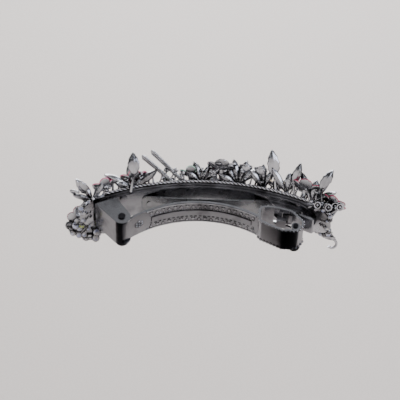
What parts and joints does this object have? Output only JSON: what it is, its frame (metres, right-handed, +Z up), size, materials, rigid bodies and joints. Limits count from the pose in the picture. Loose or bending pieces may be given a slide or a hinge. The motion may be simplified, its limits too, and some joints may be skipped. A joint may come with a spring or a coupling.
{
  "type": "hair clip",
  "caption": "Arched spring barrette with a cast flower and rhinestone garland, a hinged clamp bar and a thumb lever release.",
  "frame": {"origin": "on the floor under the middle of the clip, which stands closed on its hinge bracket and clasp cage", "axes": "+X along the clip from the hinge to the clasp, +Y across it, +Z up towards the flowers"},
  "size_m": [0.0924, 0.0304, 0.0261],
  "materials": {
    "plated_steel": "gunmetal nickel plate, polished",
    "plated_casting": "antiqued gunmetal plate on a zinc casting",
    "spring_steel": "rolled spring steel",
    "blackened_steel": "black oxide",
    "rhinestone": "faceted, foil backed",
    "pink_enamel": "soft enamel in a plated casting",
    "wine_enamel": "soft enamel in a plated casting",
    "leaf_enamel": "soft enamel in a plated casting"
  },
  "bodies": {
    "plate": {"base_plate": "plated_steel", "bud_flower_back": "pink_enamel", "bud_flower_front": "pink_enamel", "catch_bracket": "plated_steel", "catch_bracket_rivets": "plated_steel", "centre_flower": "plated_casting", "centre_stone": "rhinestone", "end_flower_back": "plated_casting", "end_flower_front": "plated_casting", "florets_back": "plated_casting", "florets_front": "plated_casting", "flower_stones_back": "rhinestone", "flower_stones_front": "rhinestone", "garland_frame": "plated_casting", "garland_rivets": "plated_steel", "hinge_bracket": "plated_steel", "hinge_bracket_rivets": "plated_steel", "hinge_pin": "blackened_steel", "large_flower_back": "wine_enamel", "large_flower_front": "wine_enamel", "leafy_flower_back": "plated_casting", "leafy_flower_front": "plated_casting", "left_leaf_back": "leaf_enamel", "left_leaf_front": "leaf_enamel", "lever_pin": "plated_steel", "lever_spring": "spring_steel", "long_spray_back": "plated_casting", "long_spray_front": "plated_casting", "openwork_flower_back": "plated_casting", "openwork_flower_front": "plated_casting", "pink_flower_inner_back": "pink_enamel", "pink_flower_inner_front": "pink_enamel", "pink_flower_outer_back": "pink_enamel", "pink_flower_outer_front": "pink_enamel", "right_leaf_back": "leaf_enamel", "right_leaf_front": "leaf_enamel", "rope_edge_back": "plated_casting", "rope_edge_front": "plated_casting", "rose_inner_back": "plated_casting", "rose_inner_front": "plated_casting", "rose_outer_back": "plated_casting", "rose_outer_front": "plated_casting", "short_spray_back": "plated_casting", "short_spray_front": "plated_casting", "side_leaf_back": "leaf_enamel", "side_leaf_front": "leaf_enamel", "spine_settings": "plated_casting", "spine_stones": "rhinestone", "tall_leaf_back": "leaf_enamel", "tall_leaf_front": "leaf_enamel", "tendril_back": "plated_casting", "tendril_front": "plated_casting", "tension_strip": "spring_steel", "tension_strip_rivets": "plated_steel", "veined_leaf_back": "leaf_enamel", "veined_leaf_front": "leaf_enamel"},
    "clamp": {"clamp_bar": "plated_steel", "clasp_cage": "plated_steel", "cage_pin": "blackened_steel"},
    "lever": {"release_lever": "plated_steel"}
  },
  "joints": [
    {"name": "clamp_hinge", "type": "hinge", "parent": "plate", "child": "clamp", "pos_m": [-0.02709, 0, 0.0029], "axis": [0, 1, 0], "range_deg": [0, 70]},
    {"name": "lever_hinge", "type": "hinge", "parent": "plate", "child": "lever", "pos_m": [0.026, 0, 0.0102], "axis": [0, -1, 0], "range_deg": [0, 7], "stiffness_Nm_per_rad": 0.02}
  ]
}
